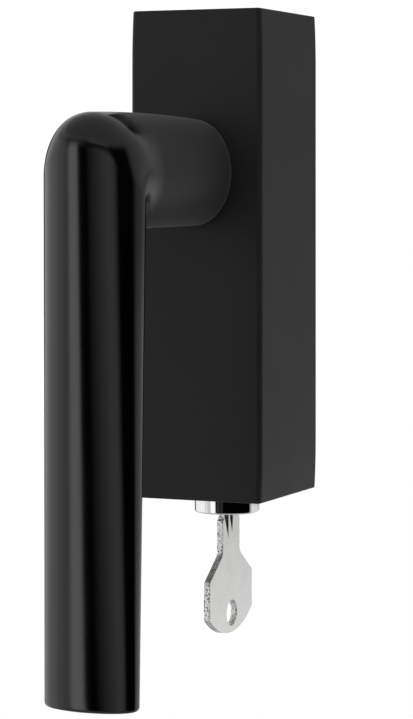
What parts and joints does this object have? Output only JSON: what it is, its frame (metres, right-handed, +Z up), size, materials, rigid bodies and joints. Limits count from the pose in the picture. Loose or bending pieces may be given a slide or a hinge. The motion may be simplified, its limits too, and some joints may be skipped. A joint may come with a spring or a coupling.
{
  "type": "lockable window handle",
  "caption": "Lockable tilt-and-turn window handle: a tall box with an L-shaped lever on an oval neck, and a key in a push-in lock cylinder.",
  "frame": {"origin": "on the spindle's axis, in the plane of the window that the handle is screwed to", "axes": "+Y into the window along the spindle, +Z up along the box, +X to the right seen from the front; the lever hangs down in the closed position"},
  "size_m": [0.0324, 0.131, 0.1492],
  "materials": {
    "black_paint": "satin black powder coat",
    "black_anodised": "satin to semi-gloss black",
    "zinc": "die-cast zinc, bare",
    "pad": "matte",
    "cam_nylon": "natural nylon",
    "screw_steel": "zinc plated",
    "black_steel": "black oxide",
    "bush_plastic": "black acetal",
    "bright_steel": "ground",
    "spindle_steel": "zinc plated, drawn",
    "brass": "stamped",
    "chrome": "polished chrome",
    "nickel": "nickel plated, turned",
    "key_nickel": "nickel plated, stamped"
  },
  "bodies": {
    "housing": {"cover": "black_paint", "base_plate": "zinc", "backing_pad": "pad", "locating_cams": "cam_nylon", "fixing_screws": "screw_steel", "cover_screws": "black_steel", "neck_bush": "bush_plastic", "chassis": "zinc", "chassis_lid": "zinc", "chassis_screws": "screw_steel", "detent_ball": "bright_steel", "detent_spring": "bright_steel", "detent_plug": "black_steel", "lock_housing": "zinc", "lock_screws": "screw_steel", "guide_pin": "bright_steel", "return_spring": "bright_steel"},
    "handle": {"lever": "black_anodised", "spindle": "spindle_steel", "spindle_pin": "bright_steel", "thrust_washer": "brass", "retaining_ring": "black_steel", "index_hub": "bright_steel"},
    "lock_cylinder": {"push_cylinder": "chrome", "lock_bolt": "bright_steel", "latch_bar": "bright_steel", "plug_pin": "bright_steel"},
    "lock_plug": {"plug": "nickel", "wafers": "brass"},
    "key": {"key": "key_nickel"}
  },
  "joints": [
    {"name": "handle_turn", "type": "hinge", "parent": "housing", "child": "handle", "pos_m": [0, 0, 0], "axis": [0, -1, 0], "range_deg": [0, 180]},
    {"name": "cylinder_push", "type": "slide", "parent": "housing", "child": "lock_cylinder", "axis": [0, 0, 1], "range_m": [0, 0.0042], "stiffness_N_per_m": 400, "springref_m": -0.006, "deforming": ["return_spring"]},
    {"name": "plug_turn", "type": "hinge", "parent": "lock_cylinder", "child": "lock_plug", "pos_m": [0, -0.0159, -0.079], "axis": [0, 0, 1], "range_deg": [0, 90]},
    {"name": "key_withdraw", "type": "slide", "parent": "lock_plug", "child": "key", "axis": [0, 0, -1], "range_m": [0, 0.024]}
  ]
}
